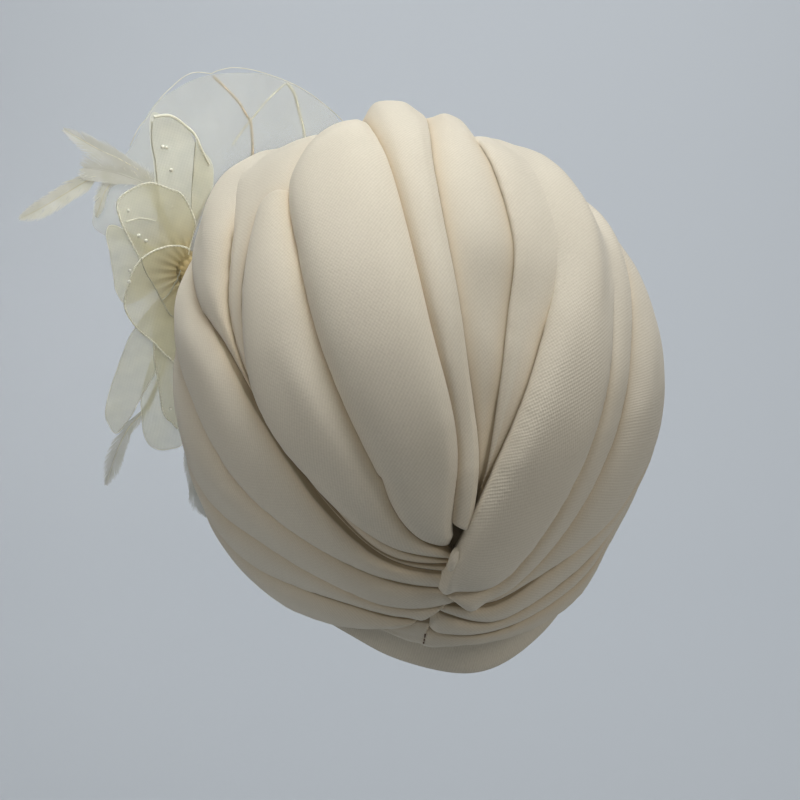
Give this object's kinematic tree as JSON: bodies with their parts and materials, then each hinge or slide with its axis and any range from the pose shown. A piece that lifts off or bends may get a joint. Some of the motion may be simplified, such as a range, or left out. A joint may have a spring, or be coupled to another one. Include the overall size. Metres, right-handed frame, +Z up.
{
  "type": "turban hat",
  "caption": "Padded pleated turban hat whose folds meet at a low twist at the back, with an organza flower, net and feathers at one side.",
  "frame": {"origin": "top of the hollow, where the crown of the head bears", "axes": "+Z up, +Y towards the front, the twist and the nape at -Y, the wearer's left with the flower at -X"},
  "size_m": [0.2913, 0.243, 0.2312],
  "materials": {
    "padded_knit": "ivory padded knit, matte with a soft sheen",
    "band_knit": "ivory plain knit, matte",
    "organza": "pale greenish ivory organza, translucent",
    "net": "fine pale net, see-through",
    "feather": "pale ivory feather"
  },
  "bodies": {
    "root": {"left_pleats": "padded_knit", "centre_pleats": "padded_knit", "right_pleats": "padded_knit", "rim_band": "band_knit", "flower_core": "organza", "petal_lower": "organza", "petal_upper": "organza", "petal_hanging": "organza", "petal_top": "organza", "petal_backing": "organza", "petal_rolled": "organza", "petal_round": "organza", "net_fan": "net", "feather_long": "feather", "feather_soft": "feather", "feather_claw": "feather", "feather_low": "feather"}
  },
  "joints": []
}
